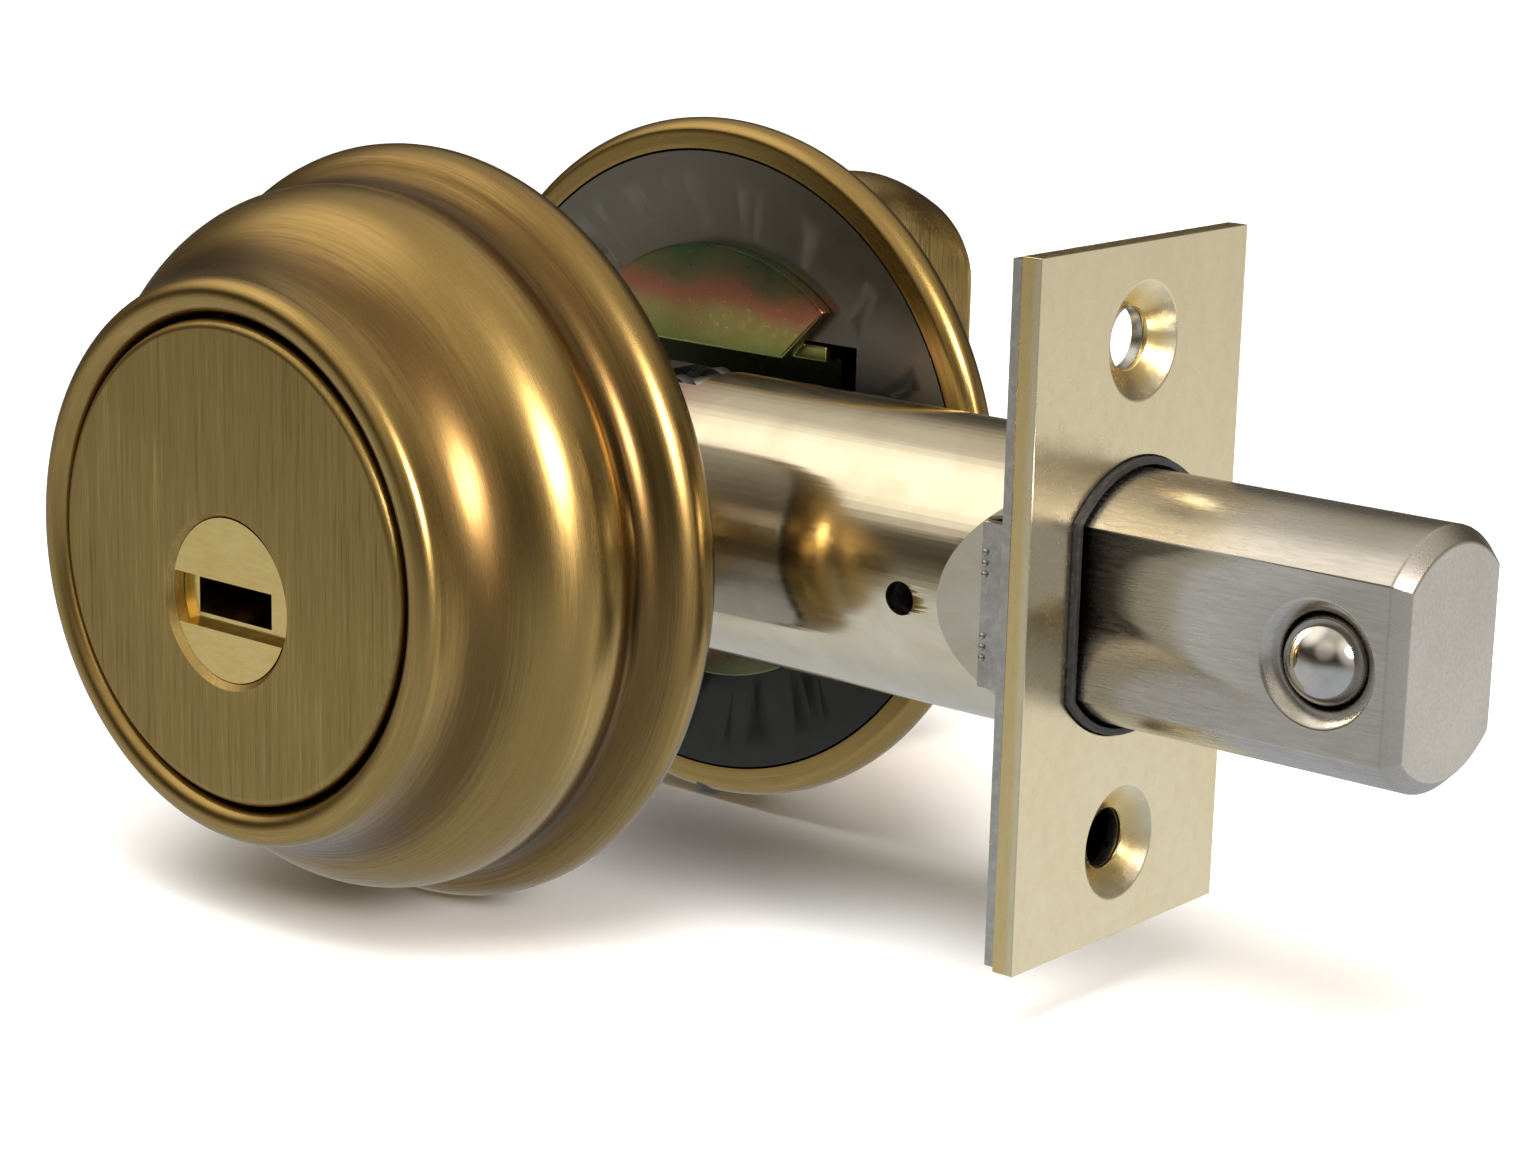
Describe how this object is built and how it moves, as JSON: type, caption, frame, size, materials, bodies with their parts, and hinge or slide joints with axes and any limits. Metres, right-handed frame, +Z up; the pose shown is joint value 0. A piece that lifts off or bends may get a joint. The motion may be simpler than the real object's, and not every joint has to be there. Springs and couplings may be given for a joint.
{
  "type": "deadbolt door lock",
  "caption": "Single-cylinder deadbolt lock: free-spinning bell guard, key plug, tubular latch with faceplate and flat-sided bolt, rose and thumbturn.",
  "frame": {"origin": "crossing of the cross bore's axis and the bolt's axis, in the middle of the door's thickness", "axes": "+X the way the bolt is thrown, -Y the key side, +Y the thumbturn side, +Z up"},
  "size_m": [0.122, 0.092, 0.0656],
  "materials": {
    "antique_brass": "antique brass, brushed, clear lacquered",
    "bright_brass": "polished brass",
    "plate_brass": "bright pale brass plating",
    "pin_brass": "turned brass",
    "bright_plate": "bright nickel plating",
    "bolt_steel": "satin nickel, faintly milled",
    "satin_steel": "plain zinc plated",
    "bright_steel": "bright drawn",
    "polished_steel": "polished ball",
    "hardened_steel": "hardened, dark",
    "yellow_zinc": "iridescent yellow zinc plating",
    "gunmetal": "dark gunmetal",
    "black_plastic": "black nylon"
  },
  "bodies": {
    "root": {"cylinder_housing": "antique_brass", "housing_flange": "satin_steel", "screw_posts": "satin_steel", "driver_pins": "pin_brass", "pin_springs": "bright_steel", "chamber_plugs": "pin_brass", "hardened_inserts": "hardened_steel", "latch_housing": "bright_plate", "latch_rear_case": "satin_steel", "bolt_guide": "black_plastic", "backplate": "satin_steel", "faceplate": "plate_brass", "bolt_seal": "black_plastic", "detent_spring": "bright_steel", "rose_backplate": "gunmetal", "mounting_plate": "yellow_zinc", "rose": "antique_brass", "mounting_screws": "bright_steel", "rose_set_screw": "hardened_steel"},
    "guard": {"cylinder_guard": "antique_brass", "guard_backing_ring": "satin_steel"},
    "plug": {"key_plug": "bright_brass", "outer_key_pins": "pin_brass", "inner_key_pins": "bright_steel", "plug_retainer": "satin_steel", "retainer_screws": "bright_steel", "tailpiece": "satin_steel"},
    "crank": {"hub_crank": "hardened_steel"},
    "bolt": {"bolt": "bolt_steel", "bolt_tail": "hardened_steel", "drive_pin": "bright_steel", "tail_pin": "bright_steel", "hardened_rollers": "hardened_steel"},
    "outer_ball": {"exterior_ball": "polished_steel"},
    "inner_ball": {"interior_ball": "polished_steel"},
    "plunger": {"ball_plunger": "hardened_steel"},
    "thumbturn": {"thumbturn_knob": "antique_brass", "thumbturn_spindle": "satin_steel", "wave_washer": "bright_steel", "retaining_clip": "hardened_steel"}
  },
  "joints": [
    {"name": "thumbturn_turn", "type": "hinge", "parent": "root", "child": "thumbturn", "pos_m": [0, 0, -0.0039], "axis": [0, -1, 0], "range_deg": [0, 90]},
    {"name": "crank_turn", "type": "hinge", "parent": "root", "child": "crank", "pos_m": [0, 0, -0.0039], "axis": [0, -1, 0], "range_deg": [0, 90]},
    {"name": "plug_turn", "type": "hinge", "parent": "root", "child": "plug", "pos_m": [0, 0, -0.0039], "axis": [0, -1, 0], "range_deg": [0, 90]},
    {"name": "bolt_slide", "type": "slide", "parent": "root", "child": "bolt", "axis": [1, 0, 0], "range_m": [-0.028, 0]},
    {"name": "outer_ball_slide", "type": "slide", "parent": "bolt", "child": "outer_ball", "axis": [0, 1, 0], "range_m": [0, 0.0015]},
    {"name": "inner_ball_slide", "type": "slide", "parent": "bolt", "child": "inner_ball", "axis": [0, -1, 0], "range_m": [0, 0.0015]},
    {"name": "plunger_slide", "type": "slide", "parent": "bolt", "child": "plunger", "axis": [1, 0, 0], "range_m": [-0.005, 0]},
    {"name": "guard_spin", "type": "hinge", "parent": "root", "child": "guard", "pos_m": [0, 0, -0.0009], "axis": [0, 1, 0], "continuous": true}
  ],
  "couplings": [
    {"joint": "crank_turn", "follows": "thumbturn_turn", "ratio": 1},
    {"joint": "plug_turn", "follows": "thumbturn_turn", "ratio": 1},
    {"joint": "bolt_slide", "follows": "thumbturn_turn", "m_per_rad": -0.017825},
    {"joint": "outer_ball_slide", "follows": "thumbturn_turn", "m_per_rad": 0.0009549},
    {"joint": "inner_ball_slide", "follows": "thumbturn_turn", "m_per_rad": 0.0009549},
    {"joint": "plunger_slide", "follows": "thumbturn_turn", "m_per_rad": -0.003183}
  ]
}
